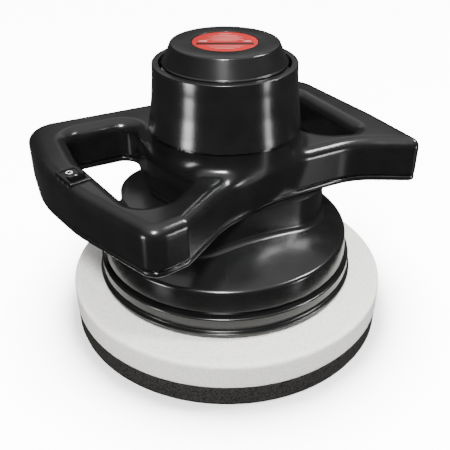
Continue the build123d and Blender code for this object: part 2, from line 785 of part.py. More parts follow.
with BuildPart() as motor_housing:
    with BuildSketch(Plane((0, motor_y, 0), x_dir=(1, 0, 0), z_dir=(0, -1, 0))):
        with BuildLine():
            Polyline(
                (motor_opening_r, 158.5), (motor_opening_r, neck_top), (bell_lip_r - 0.6, neck_top),
                (bell_lip_r, 156.1),
            )
            Spline(
                (bell_lip_r, 156.1), (53.6, 160.5), (52.3, 169.0), (51.1, 180.0), (50.3, 191.0),
                (bell_r, 199.9),
            )
            ThreePointArc((bell_r, 199.9), (bell_r - 0.25, 200.4), (bell_r - 0.8, bell_top))
            Polyline((bell_r - 0.8, bell_top), (45.2, bell_top), (45.2, 197.4), (47.4, 195.2))
            Spline((47.4, 195.2), (48.0, 180.0), (48.7, 169.0), (49.5, 160.5))
            Polyline((49.5, 160.5), (49.6, 158.5), (motor_opening_r, 158.5))
        make_face()
    revolve(axis=Axis((0, motor_y, 0), (0, 0, 1)))
    with BuildSketch(level(158.5)):
        with Locations(*tie_screw_places):
            Circle(4)
    extrude(amount=13.5)
    with BuildSketch(level(158.5)):
        with PolarLocations(44.9, 4):
            Rectangle(9.7, 4)
    extrude(amount=26)
    with BuildSketch(level(178)):
        with Locations(*upper_bracket_places):
            Circle(3.6)
        with PolarLocations(45, 4, 45):
            Rectangle(8.0, 3)
    extrude(amount=11)
    with BuildSketch(level(189.0)):
        with Locations(*upper_bracket_places):
            Circle(1.45)
    extrude(amount=-8, mode=Mode.SUBTRACT)
    with BuildSketch(level(neck_top)):
        with Locations(*tie_screw_places):
            Circle(1.85)
    extrude(amount=16, mode=Mode.SUBTRACT)
save(motor_housing, "motor_housing")

label_depth = 0.9
top_cap = turned([
    (40.6, 198.4), (42.6, 198.4), (cap_base_r, 199.0), (cap_base_r, 200.2), (42.6, 200.9),
    (cap_face_r + 0.7, overall_height - 0.9), (cap_face_r - 0.4, overall_height),
    (label_r + 0.3, overall_height), (label_r + 0.3, overall_height - label_depth),
    (3.4, overall_height - label_depth), (3.4, 209.4), (1.7, 209.4), (1.7, 204.5), (6.0, 204.5),
    (6.0, 210.2), (35.0, 210.4),
])
save(top_cap, "top_cap")

with BuildPart() as label_disc:
    with BuildSketch(level(overall_height - label_depth)):
        Circle(label_r)
    extrude(amount=label_depth - 0.2)
save(label_disc, "label_disc")
save(screws([(0, 0)], 209.4, 211.6, 199.5, 3.1, 1.3), "cap_screw")
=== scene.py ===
import bmesh
import bpy
import json
import numpy as np
from math import atan2, cos, pi, radians, sin, tan
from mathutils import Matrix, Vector, noise


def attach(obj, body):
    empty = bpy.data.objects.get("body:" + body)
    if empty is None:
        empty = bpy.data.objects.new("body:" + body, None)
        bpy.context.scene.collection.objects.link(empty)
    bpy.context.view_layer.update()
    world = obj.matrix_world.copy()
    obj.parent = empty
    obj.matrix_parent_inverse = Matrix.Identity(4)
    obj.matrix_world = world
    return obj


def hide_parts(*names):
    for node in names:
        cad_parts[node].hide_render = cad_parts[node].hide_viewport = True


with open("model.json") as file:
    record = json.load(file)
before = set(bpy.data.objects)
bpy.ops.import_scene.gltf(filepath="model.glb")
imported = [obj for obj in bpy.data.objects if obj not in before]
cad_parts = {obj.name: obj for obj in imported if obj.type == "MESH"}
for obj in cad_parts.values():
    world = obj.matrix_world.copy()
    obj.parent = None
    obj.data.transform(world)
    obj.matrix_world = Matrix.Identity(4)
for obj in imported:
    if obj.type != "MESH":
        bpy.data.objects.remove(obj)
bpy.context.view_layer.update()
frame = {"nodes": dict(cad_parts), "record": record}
nodes = frame["nodes"]

MM = 0.001
WELD = 0.000002          # points of a piece closer than this, in metres, become one
MOTOR_Y = 3.0            # the motor axis, in millimetres behind the pad axis
PAD_R = 121.0
DARK_TOP = 16.5
WHITE_TOP = 37.0
GRIP_BOTTOM = 105.6
SEAM = 110.4
GRIP_TOP = 140.2
NECK_TOP = 155.5
MOTOR_OPENING_R = 43.7   # the round way through both handle shells
LABEL_R = 22.2
LABEL_Z = 213.4
LABEL_TURN = radians(-27)
GLAND_R = 7.1
GLAND_Z = 127.0
SWITCH = (-113.5, 0.5)
SWITCH_TURN = radians(12)
ROCKER_PIVOT_Z = 137.5
WALL = 2.6
VIEW = (0.454, 0.891)    # the plan direction in which the camera looks

# Plans about the motor axis: corner points in millimetres, each with its radius.
OUTLINE = [
    ((-68, -86.5), 6), ((-94, -92), 13), ((-121, -21), 110), ((-131, 26), 110),
    ((-124, 96.5), 24), ((124, 96.5), 24), ((131.7, -5), 150), ((132.5, -65), 5),
    ((88, -41), 60), ((15, -43), 70), ((-30, -59), 80),
]
LEFT_HOLE = [
    ((-100, 69), 14), ((-103, 20), 90), ((-91, -58), 14), ((-68, -58), 16),
    ((-43, -38), 8), ((-57, 8), 40), ((-46, 69), 12),
]
RIGHT_HOLE = [((100, 69), 14), ((101.5, -29), 9), ((76, -20), 22), ((58, 3), 12), ((46, 69), 12)]
DRUM = [((-76.8, -49), 44), ((76.8, -49), 44), ((76.8, 54), 44), ((-76.8, 54), 44)]


# ---- Rounded outlines ----

def corner_arc(before, corner, after, radius):
    """The fillet at a corner: its centre, first and last point, start angle and signed sweep."""
    back = np.subtract(before, corner)
    ahead = np.subtract(after, corner)
    back = back / np.linalg.norm(back)
    ahead = ahead / np.linalg.norm(ahead)
    half = np.arccos(np.clip(back @ ahead, -1, 1)) / 2
    painted_shadow_ao = radius / tan(half)
    middle = (back + ahead) / np.linalg.norm(back + ahead)
    centre = np.array(corner) + middle * radius / sin(half)
    first = np.array(corner) + back * painted_shadow_ao
    last = np.array(corner) + ahead * painted_shadow_ao
    start = atan2(first[1] - centre[1], first[0] - centre[0])
    end = atan2(last[1] - centre[1], last[0] - centre[0])
    sweep = (end - start + pi) % (2 * pi) - pi
    return centre, first, last, start, sweep


def closed_arcs(corners):
    """Every fillet of a closed outline, with its radius."""
    arcs = []
    for i, (corner, radius) in enumerate(corners):
        before = corners[i - 1][0]
        after = corners[(i + 1) % len(corners)][0]
        arcs.append((*corner_arc(before, corner, after, radius), radius))
    return arcs


def outline_points(corners, degrees, straight):
    """Points round a closed outline, with the direction that faces out of it at each one."""
    arcs = closed_arcs(corners)
    turning = np.sign(sum(arc[4] for arc in arcs))
    points = []
    facing = []
    for i, (centre, _, last, start, sweep, radius) in enumerate(arcs):
        steps = max(2, int(abs(sweep) / radians(degrees)))
        out = 1.0 if np.sign(sweep) == turning else -1.0
        for k in range(steps + 1):
            angle = start + sweep * k / steps
            ray = np.array([cos(angle), sin(angle)])
            points.append(centre + radius * ray)
            facing.append(out * ray)
        ahead = arcs[(i + 1) % len(arcs)][1] - last
        count = int(np.linalg.norm(ahead) / straight)
        for k in range(1, count):
            points.append(last + ahead * k / count)
            facing.append(facing[-1])
    return np.array(points), np.array(facing)


def plan_distance(corners, x, y):
    """Signed distance in the plan from a closed rounded outline, negative inside it."""
    arcs = closed_arcs(corners)
    turning = np.sign(sum(arc[4] for arc in arcs))
    best = np.full(x.shape, 1e9)

    def keep_nearer(value, valid):
        nearer = valid & (np.abs(value) < np.abs(best))
        best[nearer] = value[nearer]

    for i, (centre, _, last, start, sweep, radius) in enumerate(arcs):
        dx = x - centre[0]
        dy = y - centre[1]
        middle = start + sweep / 2
        off = np.abs((np.arctan2(dy, dx) - middle + pi) % (2 * pi) - pi)
        inward = np.sign(sweep) * turning
        keep_nearer(inward * (np.hypot(dx, dy) - radius), off <= abs(sweep) / 2 + 1e-6)
        ahead = arcs[(i + 1) % len(arcs)][1] - last
        length = np.linalg.norm(ahead)
        ahead = ahead / length
        along = (x - last[0]) * ahead[0] + (y - last[1]) * ahead[1]
        across = (x - last[0]) * ahead[1] - (y - last[1]) * ahead[0]
        keep_nearer(turning * across, (along >= -1e-6) & (along <= length + 1e-6))
    return best


def rounded_profile(corners, degrees=9.0):
    """An open profile with a fillet at each inner corner, as (radius, height) points."""
    points = [np.array(corners[0][0], float)]
    for i in range(1, len(corners) - 1):
        corner, radius = corners[i]
        if radius == 0:
            points.append(np.array(corner, float))
            continue
        centre, _, _, start, sweep = corner_arc(corners[i - 1][0], corner, corners[i + 1][0], radius)
        steps = max(3, int(abs(sweep) / radians(degrees)))
        for k in range(steps + 1):
            angle = start + sweep * k / steps
            points.append(centre + radius * np.array([cos(angle), sin(angle)]))
    points.append(np.array(corners[-1][0], float))
    return points


def subdivided(points, step):
    """The same path with no gap longer than step."""
    fine = [points[0]]
    for first, last in zip(points, points[1:]):
        count = max(1, int(np.ceil(np.linalg.norm(last - first) / step)))
        fine += [first + (last - first) * k / count for k in range(1, count + 1)]
    return fine


# ---- Mesh building ----

def add_piece(name, vertices, faces, body, material, replaced):
    """A clean, smooth-shaded mesh, given in millimetres in the frame, that rides on a body."""
    mesh = bpy.data.meshes.new(name)
    mesh.from_pydata([tuple(v) for v in np.asarray(vertices) * MM], [], faces)
    mesh.validate()
    shape = bmesh.new()
    shape.from_mesh(mesh)
    bmesh.ops.remove_doubles(shape, verts=shape.verts, dist=WELD)
    loose = [edge for edge in shape.edges if not edge.link_faces]
    bmesh.ops.delete(shape, geom=loose, context="EDGES")
    bmesh.ops.recalc_face_normals(shape, faces=shape.faces)
    shape.to_mesh(mesh)
    shape.free()
    mesh.shade_smooth()
    mesh.materials.append(material)
    obj = bpy.data.objects.new(name, mesh)
    bpy.context.scene.collection.objects.link(obj)
    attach(obj, body)
    if replaced:
        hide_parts(*replaced)
    return obj


def split_edges(obj, degrees):
    """Shades an object crisply where its faces turn by more than an angle."""
    split = obj.modifiers.new("edges", "EDGE_SPLIT")
    split.split_angle = radians(degrees)


def grid_faces(rows, columns, close_rows=False):
    """Quads over rows of points, each row a ring. The last row joins the first if asked."""
    faces = []
    for i in range(rows if close_rows else rows - 1):
        for j in range(columns):
            below = i * columns
            above = (i + 1) % rows * columns
            right = (j + 1) % columns
            faces.append((below + j, below + right, above + right, above + j))
    return faces


def lathe(profile, segments, centre_y=MOTOR_Y, closed=True):
    """Vertices and faces of a profile turned about a vertical axis. The last point of a closed
    profile joins its first."""
    angles = [2 * pi * k / segments for k in range(segments)]
    vertices = [(r * cos(a), centre_y + r * sin(a), z) for r, z in profile for a in angles]
    return vertices, grid_faces(len(profile), segments, close_rows=closed)


def surface_nets(field, low, high, cell):
    """A quad mesh of the surface where field(x, y, z) is zero, between two corners."""
    counts = [int(np.ceil((high[i] - low[i]) / cell)) + 1 for i in range(3)]
    axes = [low[i] + cell * np.arange(counts[i]) for i in range(3)]
    grid = np.meshgrid(*axes, indexing="ij")
    value = field(*grid)
    inside = value < 0
    corners = [(i, j, k) for i in (0, 1) for j in (0, 1) for k in (0, 1)]
    nx, ny, nz = (n - 1 for n in counts)
    total = sum(inside[i:i + nx, j:j + ny, k:k + nz].astype(int) for i, j, k in corners)
    mixed = (total > 0) & (total < 8)
    number = np.full(mixed.shape, -1)
    number[mixed] = np.arange(mixed.sum())
    cells = np.argwhere(mixed)
    points = np.zeros((len(cells), 3))
    crossings = np.zeros(len(cells))
    for start in corners:
        for axis in range(3):
            if start[axis]:
                continue
            end = list(start)
            end[axis] = 1
            first = value[tuple((cells + start).T)]
            last = value[tuple((cells + end).T)]
            crosses = (first < 0) != (last < 0)
            share = np.where(crosses, first / np.where(crosses, first - last, 1), 0)
            place = cells + np.array(start) + 0.0
            place[:, axis] += share
            points[crosses] += place[crosses]
            crossings += crosses
    points = np.array(low) + cell * points / crossings[:, None]
    faces = []
    for axis in range(3):
        b, c = (axis + 1) % 3, (axis + 2) % 3
        here = [slice(None)] * 3
        there = [slice(None)] * 3
        here[axis] = slice(0, -1)
        there[axis] = slice(1, None)
        first = inside[tuple(here)]
        last = inside[tuple(there)]
        for outward in (True, False):
            edges = np.argwhere((first != last) & (first == outward))
            edges = edges[(edges[:, b] > 0) & (edges[:, c] > 0)]
            edges = edges[(edges[:, b] < counts[b] - 1) & (edges[:, c] < counts[c] - 1)]
            ring = []
            for db, dc in ((-1, -1), (0, -1), (0, 0), (-1, 0)):
                at = edges.copy()
                at[:, b] += db
                at[:, c] += dc
                ring.append(number[tuple(at.T)])
            quads = np.stack(ring if outward else ring[::-1], axis=1)
            faces += quads.tolist()
    return snapped(field, points, cell), faces


def snapped(field, points, cell):
    """Points moved onto the surface along its slope."""
    step = 0.02
    for _ in range(4):
        value = field(*points.T)
        slope = np.stack([
            (field(*(points + step * unit).T) - field(*(points - step * unit).T)) / (2 * step)
            for unit in np.eye(3)
        ], axis=1)
        steep = np.maximum((slope ** 2).sum(axis=1), 0.3)
        move = -(value / steep)[:, None] * slope
        points = points + np.clip(move, -0.5 * cell, 0.5 * cell)
    return points


def both(a, b, radius):
    """The overlap of two solids given by distance, with their shared edge rounded."""
    near = (a > -radius) & (b > -radius)
    return np.where(near, np.hypot(a + radius, b + radius) - radius, np.maximum(a, b))


def joined(a, b, blend):
    """Two solids given by distance, merged with a hollow fillet between them."""
    share = np.maximum(blend - np.abs(a - b), 0) / blend
    return np.minimum(a, b) - share ** 2 * blend / 4


# ---- Materials ----

def new_material(name):
    """A material with one Principled shader, and its node tree."""
    material = bpy.data.materials.new(name)
    material.use_nodes = True
    tree = material.node_tree
    return material, tree, tree.nodes["Principled BSDF"]


def noise_texture(tree, scale, detail=4.0, stretch=(1, 1, 1)):
    """A noise texture that sticks to the object."""
    place = tree.nodes.new("ShaderNodeTexCoord")
    mapping = tree.nodes.new("ShaderNodeMapping")
    mapping.inputs["Scale"].default_value = stretch
    texture = tree.nodes.new("ShaderNodeTexNoise")
    texture.inputs["Scale"].default_value = scale
    texture.inputs["Detail"].default_value = detail
    tree.links.new(place.outputs["Object"], mapping.inputs["Vector"])
    tree.links.new(mapping.outputs["Vector"], texture.inputs["Vector"])
    return texture.outputs["Fac"]


def ramp(tree, source, low, high, low_at=0.3, high_at=0.7):
    """Turns a texture's grey into a range between two colours."""
    node = tree.nodes.new("ShaderNodeValToRGB")
    node.color_ramp.elements[0].position = low_at
    node.color_ramp.elements[1].position = high_at
    node.color_ramp.elements[0].color = (*low, 1)
    node.color_ramp.elements[1].color = (*high, 1)
    tree.links.new(source, node.inputs["Fac"])
    return node.outputs["Color"]


def bump(tree, shader, source, strength, distance):
    """Relief from a texture, with its depth in metres."""
    node = tree.nodes.new("ShaderNodeBump")
    node.inputs["Strength"].default_value = strength
    node.inputs["Distance"].default_value = distance
    tree.links.new(source, node.inputs["Height"])
    tree.links.new(node.outputs["Normal"], shader.inputs["Normal"])


def grey(value):
    """A colour with no hue."""
    return (value, value, value)


def moulded_plastic(name, colour, roughness, variation=0.04):
    """Injection-moulded plastic: faint mottling in its gloss and a very fine relief."""
    material, tree, shader = new_material(name)
    mottle = noise_texture(tree, 60)
    gloss = ramp(tree, mottle, grey(roughness - variation), grey(roughness + variation))
    tree.links.new(gloss, shader.inputs["Roughness"])
    darker = tuple(0.85 * c for c in colour)
    lighter = tuple(1.15 * c for c in colour)
    tree.links.new(ramp(tree, mottle, darker, lighter), shader.inputs["Base Color"])
    bump(tree, shader, noise_texture(tree, 900, detail=2), 0.05, 0.00002)
    return material


def metal(name, colour, roughness, stretch=(1, 1, 1), grain=0.00001):
    """Bare metal with machining or casting marks."""
    material, tree, shader = new_material(name)
    shader.inputs["Metallic"].default_value = 1.0
    marks = noise_texture(tree, 400, detail=6, stretch=stretch)
    gloss = ramp(tree, marks, grey(roughness - 0.08), grey(roughness + 0.08))
    tree.links.new(gloss, shader.inputs["Roughness"])
    darker = tuple(0.85 * c for c in colour)
    tree.links.new(ramp(tree, marks, darker, colour), shader.inputs["Base Color"])
    bump(tree, shader, marks, 0.3, grain)
    return material


def foam(name, low, high, pore_depth):
    """Open-cell foam: dark pores over a matte body."""
    material, tree, shader = new_material(name)
    shader.inputs["Roughness"].default_value = 0.95
    shader.inputs["Specular IOR Level"].default_value = 0.15
    pores = noise_texture(tree, 750, detail=3)
    tree.links.new(ramp(tree, pores, low, high, 0.32, 0.6), shader.inputs["Base Color"])
    bump(tree, shader, pores, 0.6, pore_depth)
    return material


black_plastic = moulded_plastic("black_plastic", (0.0062, 0.0065, 0.0063), 0.22, variation=0.02)
slot_materials = {
    "black_plastic": black_plastic,
    "switch_plastic": moulded_plastic("switch_plastic", (0.004, 0.004, 0.004), 0.28),
    "label_red": moulded_plastic("label_red", (0.34, 0.001, 0.001), 0.7),
    "white_foam": foam("white_foam", (0.78, 0.77, 0.72), (0.94, 0.93, 0.89), 0.0004),
    "dark_foam": foam("dark_foam", (0.008, 0.008, 0.0075), (0.036, 0.034, 0.032), 0.0007),
    "plate_plastic": moulded_plastic("plate_plastic", (0.02, 0.02, 0.02), 0.5),
    "gland_rubber": moulded_plastic("gland_rubber", (0.012, 0.012, 0.012), 0.6),
    "bearing_steel": metal("bearing_steel", (0.62, 0.62, 0.64), 0.22),
    "shaft_steel": metal("shaft_steel", (0.55, 0.55, 0.57), 0.28, stretch=(1, 1, 8)),
    "screw_steel": metal("screw_steel", (0.45, 0.45, 0.47), 0.35),
    "core_steel": metal("core_steel", (0.30, 0.30, 0.32), 0.45, stretch=(1, 1, 40)),
    "copper": metal("copper", (0.72, 0.33, 0.16), 0.35, stretch=(1, 1, 20)),
    "carbon": moulded_plastic("carbon", (0.03, 0.03, 0.033), 0.55),
    "brass": metal("brass", (0.78, 0.60, 0.25), 0.32),
    "spring_steel": metal("spring_steel", (0.60, 0.60, 0.62), 0.25),
    "cast_weight": metal("cast_weight", (0.16, 0.16, 0.17), 0.6, grain=0.00008),
    "bracket_aluminium": metal("bracket_aluminium", (0.66, 0.66, 0.68), 0.45, grain=0.00004),
    "capacitor_case": moulded_plastic("capacitor_case", (0.55, 0.50, 0.10), 0.4),
    "lead_brown": moulded_plastic("lead_brown", (0.20, 0.08, 0.03), 0.4),
    "lead_blue": moulded_plastic("lead_blue", (0.03, 0.09, 0.40), 0.4),
}
mark_white = moulded_plastic("mark_white", (0.85, 0.85, 0.83), 0.5)
mark_black = moulded_plastic("mark_black", (0.006, 0.003, 0.003), 0.8)
label_ink = moulded_plastic("label_ink", (0.50, 0.16, 0.15), 0.7)
slot_of = {row["node"]: row["material_slot"] for row in frame["record"]["subparts"]}


def finish_cad_nodes():
    """Every carried-over CAD node takes its slot's material and smooth shading."""
    for node, obj in nodes.items():
        obj.data.materials.clear()
        obj.data.materials.append(slot_materials[slot_of[node]])
        obj.data.shade_smooth()
        split_edges(obj, 25)


# ---- Foam pads ----

def foam_pad(name, profile, node):
    """A foam disc with a slightly uneven, porous skin. Both discs turn about the pad axis."""
    walk = subdivided(rounded_profile(profile, 18), 2.0)
    vertices, faces = lathe(walk, 384, centre_y=0.0, closed=False)
    uncovered = PAD_R - 28
    shaped = []
    for x, y, z in vertices:
        r = max((x * x + y * y) ** 0.5, 1e-6)
        inside = min(1.0, abs(PAD_R - r) / 20 + 0.35) if r < PAD_R - 1 else 1.0
        grain = noise.fractal(Vector((x, y, z)) * 0.55, 1.0, 2.0, 3)
        sag = noise.noise(Vector((x, y, 0)) * 0.02)
        push = 0.16 * grain - 0.16 + 0.25 * (sag - 0.5)
        free = r > uncovered or z < 1
        if free and z > 0.6:
            x += push * inside * x / r
            y += push * inside * y / r
        if free and z > WHITE_TOP - 1:
            z += push * 0.8
        shaped.append((x, y, z))
    slot_name = slot_of[node]
    pad = add_piece(name, shaped, faces, "pad", slot_materials[slot_name], [node])


def build_pads():
    """The dark polishing foam, and the white backing foam above it."""
    dark_r = PAD_R - 0.2
    dark_top = DARK_TOP - 0.15
    foam_pad("polishing_foam", [
        ((0, 0), 0), ((dark_r, 0), 2.5), ((dark_r, dark_top), 1.0), ((60, dark_top), 0),
        ((0, dark_top), 0),
    ], "foam_pad_lower")
    white_top = WHITE_TOP - 0.1
    foam_pad("backing_foam", [
        ((0, DARK_TOP), 0), ((PAD_R, DARK_TOP), 1.0), ((PAD_R, white_top), 3.2), ((60, white_top), 0),
        ((0, white_top), 0),
    ], "foam_pad_upper")


# ---- Turned mouldings ----

def turned_piece(name, corners, node):
    """A moulding turned about the motor axis, from a closed walk round its section."""
    profile = rounded_profile(corners)[:-1]
    vertices, faces = lathe(profile, 256)
    slot_name = slot_of[node]
    add_piece(name, vertices, faces, "housing", slot_materials[slot_name], [node])


def build_turned():
    """The guard ring, the band and dome, the motor housing and its cap."""
    turned_piece("guard_ring", [
        ((93.7, 46.0), 0), ((93.7, 39.5), 0.3), ((98.8, 39.5), 0.8), ((98.8, 42.1), 0.8),
        ((95.7, 42.3), 0.8), ((95.7, 46.0), 0.8), ((97.0, 46.4), 0.9), ((97.0, 53.7), 1.2),
        ((91.7, 53.7), 0.3), ((91.7, 47.4), 0.2), ((93.7, 46.0), 0),
    ], "skirt_ring")
    turned_piece("base_band_and_dome", [
        ((91.0, 47.0), 0), ((91.4, 47.0), 0.2), ((91.9, 56.7), 0.5), ((94.1, 56.7), 1.0),
        ((92.7, 73.4), 3.6), ((80.0, 76.6), 30), ((66.0, 80.4), 60), ((50.0, 84.1), 40),
        ((40.0, 84.1), 0), ((32.1, 84.1), 0.4), ((32.1, 80.1), 0.4), ((53.0, 80.1), 20),
        ((72.0, 76.0), 60), ((88.8, 69.5), 3), ((88.8, 47.0), 0.2), ((91.0, 47.0), 0),
    ], "base_housing")
    turned_piece("motor_housing_bell", [
        ((45.3, 198.0), 0), ((47.6, 195.0), 3), ((48.3, 180.0), 60), ((50.0, 160.0), 5),
        ((48.0, 158.3), 0.4), ((43.6, 158.3), 0.3), ((43.6, 155.6), 0.3), ((54.6, 155.6), 0.7),
        ((53.5, 161.5), 12), ((51.6, 175.0), 70), ((50.3, 190.0), 70), ((49.9, 200.5), 0.9),
        ((45.3, 200.5), 0.5), ((45.3, 198.0), 0),
    ], "motor_housing")
    recess_r = LABEL_R + 0.35
    turned_piece("cap_moulding", [
        ((6.1, 204.6), 0), ((6.1, 210.1), 0.3), ((35.0, 210.1), 2), ((40.7, 198.5), 0.3),
        ((43.2, 198.5), 0.6), ((43.2, 200.7), 0.5), ((42.4, 201.1), 0.6), ((37.0, 213.5), 1.6),
        ((recess_r, 213.5), 0.3), ((recess_r, 212.8), 0.1), ((3.5, 212.8), 0.1),
        ((3.5, 209.5), 0.1), ((1.8, 209.5), 0.1), ((1.8, 204.6), 0.1), ((6.1, 204.6), 0),
    ], "top_cap")


def dome_height(radius):
    """The height of the dome's top at a distance from the motor axis."""
    radii = [40, 50, 58, 66, 73, 80, 90]
    heights = [84.1, 84.0, 82.4, 80.3, 78.4, 76.5, 73.7]
    return np.interp(radius, radii, heights)


def build_drum():
    """The drum's wall, which spreads into the dome with a hollow fillet at its foot, and its lid."""
    points, facing = outline_points(DRUM, 3.0, 4.0)
    foot = 5.0
    sunk = 0.4
    fillet_steps = 8
    rows = []
    for k in range(fillet_steps + 1):
        angle = pi / 2 * k / fillet_steps
        rows.append((foot * (1 - sin(angle)), foot * (1 - cos(angle)) - sunk))
    vertices = []
    for spread, lift in rows:
        for (x, y), (fx, fy) in zip(points, facing):
            px, py = x + spread * fx, y + spread * fy
            vertices.append((px, py + MOTOR_Y, dome_height(np.hypot(px, py)) + lift))
    lid = GRIP_BOTTOM - 0.1
    wall_bottom = 85.0
    mouth_r = 43.8
    inner = points - WALL * facing
    mouth = mouth_r * points / np.linalg.norm(points, axis=1)[:, None]
    steps = ((points, lid), (mouth, lid), (mouth, lid - WALL), (inner, lid - WALL), (inner, wall_bottom))
    for plan, height in steps:
        vertices += [(x, y + MOTOR_Y, height) for x, y in plan]
    faces = grid_faces(len(rows) + len(steps), len(points))
    drum = add_piece("drum_wall", vertices, faces, "housing", black_plastic, ["base_housing"])
    split_edges(drum, 50)


# ---- Handles ----

def neck_radius(z):
    """The radius of the round neck at a height."""
    return np.interp(z, [SEAM, 122.0, 136.0, 200.0], [46.2, 49.6, 52.3, 52.3])


def outer_form(x, y, z):
    """Distance to the outside of the upper handle shell: both grips, swept up into the neck."""
    plan = plan_distance(OUTLINE, x, y)
    hole = np.minimum(plan_distance(LEFT_HOLE, x, y), plan_distance(RIGHT_HOLE, x, y))
    top = z - (GRIP_TOP - 0.05)
    grips = both(both(plan, top, 8.0), -hole, 1.0)
    grips = np.maximum(grips, both(-hole, top, 9.0))
    neck = both(np.hypot(x, y) - neck_radius(z), z - (NECK_TOP - 0.1), 1.0)
    return joined(grips, neck, 11.0)


def upper_shell(x, y, z):
    """The hollow upper shell, with its openings for the motor, the switch and the gland."""
    y = y - MOTOR_Y
    skin = outer_form(x, y, z)
    solid = both(skin, -(skin + WALL + 0.4), 0.4)
    solid = both(solid, SEAM + 0.1 - z, 1.2)
    solid = np.maximum(solid, MOTOR_OPENING_R - np.hypot(x, y))
    dx = x - SWITCH[0]
    dy = y + MOTOR_Y - SWITCH[1]
    half_width, half_length = 6.7, 10.1
    pocket_floor = 130.0
    seat_floor = GRIP_TOP - 0.75
    inlet_front = 85.0
    across = np.abs(dx * cos(SWITCH_TURN) + dy * sin(SWITCH_TURN)) - half_width
    along = np.abs(dy * cos(SWITCH_TURN) - dx * sin(SWITCH_TURN)) - half_length
    pocket = np.maximum(np.maximum(across, along), pocket_floor - z)
    seat = np.maximum(np.maximum(across - 1.3, along - 1.4), seat_floor - z)
    solid = np.maximum(solid, -np.minimum(pocket, seat))
    inlet = np.maximum(np.hypot(x, z - GLAND_Z) - GLAND_R, inlet_front - y)
    return np.maximum(solid, -inlet)


def lower_shell(x, y, z):
    """The shallow tray that closes the grips from below, open round the motor."""
    y = y - MOTOR_Y
    plan = plan_distance(OUTLINE, x, y)
    hole = np.minimum(plan_distance(LEFT_HOLE, x, y), plan_distance(RIGHT_HOLE, x, y))
    rim = np.maximum(plan, -hole)
    solid = both(both(rim, GRIP_BOTTOM + 0.05 - z, 2.0), z - (SEAM - 0.25), 1.1)
    tray_floor = GRIP_BOTTOM + 2.2
    tray_inner_r = 47.0
    tray = np.maximum(rim + WALL, tray_floor - z)
    tray = np.maximum(tray, tray_inner_r - np.hypot(x, y))
    solid = np.maximum(solid, -tray)
    return np.maximum(solid, MOTOR_OPENING_R - np.hypot(x, y))


def build_handles():
    """Both handle shells, each meshed from its distance field."""
    cell = 1.4
    shells = (
        ("handles_and_neck", upper_shell, (-136, -94, 108.2), (136, 104, 158), "handle_upper_shell"),
        ("handle_tray", lower_shell, (-136, -94, 104), (136, 104, 112), "handle_lower_shell"),
    )
    for name, field, low, high, node in shells:
        vertices, faces = surface_nets(field, low, high, cell)
        shell = add_piece(name, vertices, faces, "housing", black_plastic, [node])
        split_edges(shell, 50)


# ---- Label and switch ----

def flat_shape(points, low, high):
    """Vertices and faces of an upright prism over a closed row of plan points."""
    count = len(points)
    vertices = [(x, y, low) for x, y in points] + [(x, y, high) for x, y in points]
    faces = [tuple(range(count))[::-1], tuple(range(count, 2 * count))]
    faces += [(i, (i + 1) % count, count + (i + 1) % count, count + i) for i in range(count)]
    return vertices, faces


def bar(x, y, width, depth, turn):
    """The corners of a bar in the plan."""
    half_width = width / 2
    half_depth = depth / 2
    ends = [
        (-half_width, -half_depth), (half_width, -half_depth), (half_width, half_depth),
        (-half_width, half_depth),
    ]
    return [(x + a * cos(turn) - b * sin(turn), y + a * sin(turn) + b * cos(turn)) for a, b in ends]


def label_print(name, bars, material):
    """Thin printed bars, each given by its centre and size along and across the label's print."""
    vertices = []
    faces = []
    for along, offset, width, depth in bars:
        x = along * cos(LABEL_TURN) - offset * sin(LABEL_TURN)
        y = MOTOR_Y + along * sin(LABEL_TURN) + offset * cos(LABEL_TURN)
        corners = bar(x, y, width, depth, LABEL_TURN)
        more, sides = flat_shape(corners, LABEL_Z - 0.1, LABEL_Z + 0.02)
        faces += [tuple(v + len(vertices) for v in side) for side in sides]
        vertices += more
    add_piece(name, vertices, faces, "housing", material, ["label_disc"])


def build_label():
    """The red disc, a black band across it and plain bars where a maker would print words."""
    segments = 128
    profile = (
        (LABEL_R - 0.15, 212.8), (LABEL_R - 0.15, LABEL_Z - 0.15), (LABEL_R - 0.35, LABEL_Z - 0.1),
        (11, LABEL_Z - 0.05),
    )
    vertices, faces = lathe(profile, segments, closed=False)
    inner_ring = (len(profile) - 1) * segments
    centre = len(vertices)
    vertices.append((0, MOTOR_Y, LABEL_Z - 0.05))
    faces += [(inner_ring + j, inner_ring + (j + 1) % segments, centre) for j in range(segments)]
    red = slot_materials["label_red"]
    add_piece("label_face", vertices, faces, "housing", red, ["label_disc"])
    lines = (
        (17.0, 9.0, 1.2), (13.2, 17.0, 1.0), (9.6, 23.0, 1.0), (6.4, 19.0, 0.8), (3.6, 25.0, 0.8),
        (0.8, 17.0, 0.8), (-10.6, 24.0, 0.8), (-13.4, 20.0, 0.8), (-16.2, 13.0, 0.8),
    )
    bars = [(0, offset, width, depth) for offset, width, depth in lines]
    bars += [(side * 14.8, 0.5, 5.5, 3.0) for side in (-1, 1)]
    label_print("label_bars", bars, label_ink)
    label_print("label_band", [(0, -5.4, 38.0, 4.2)], mark_black)


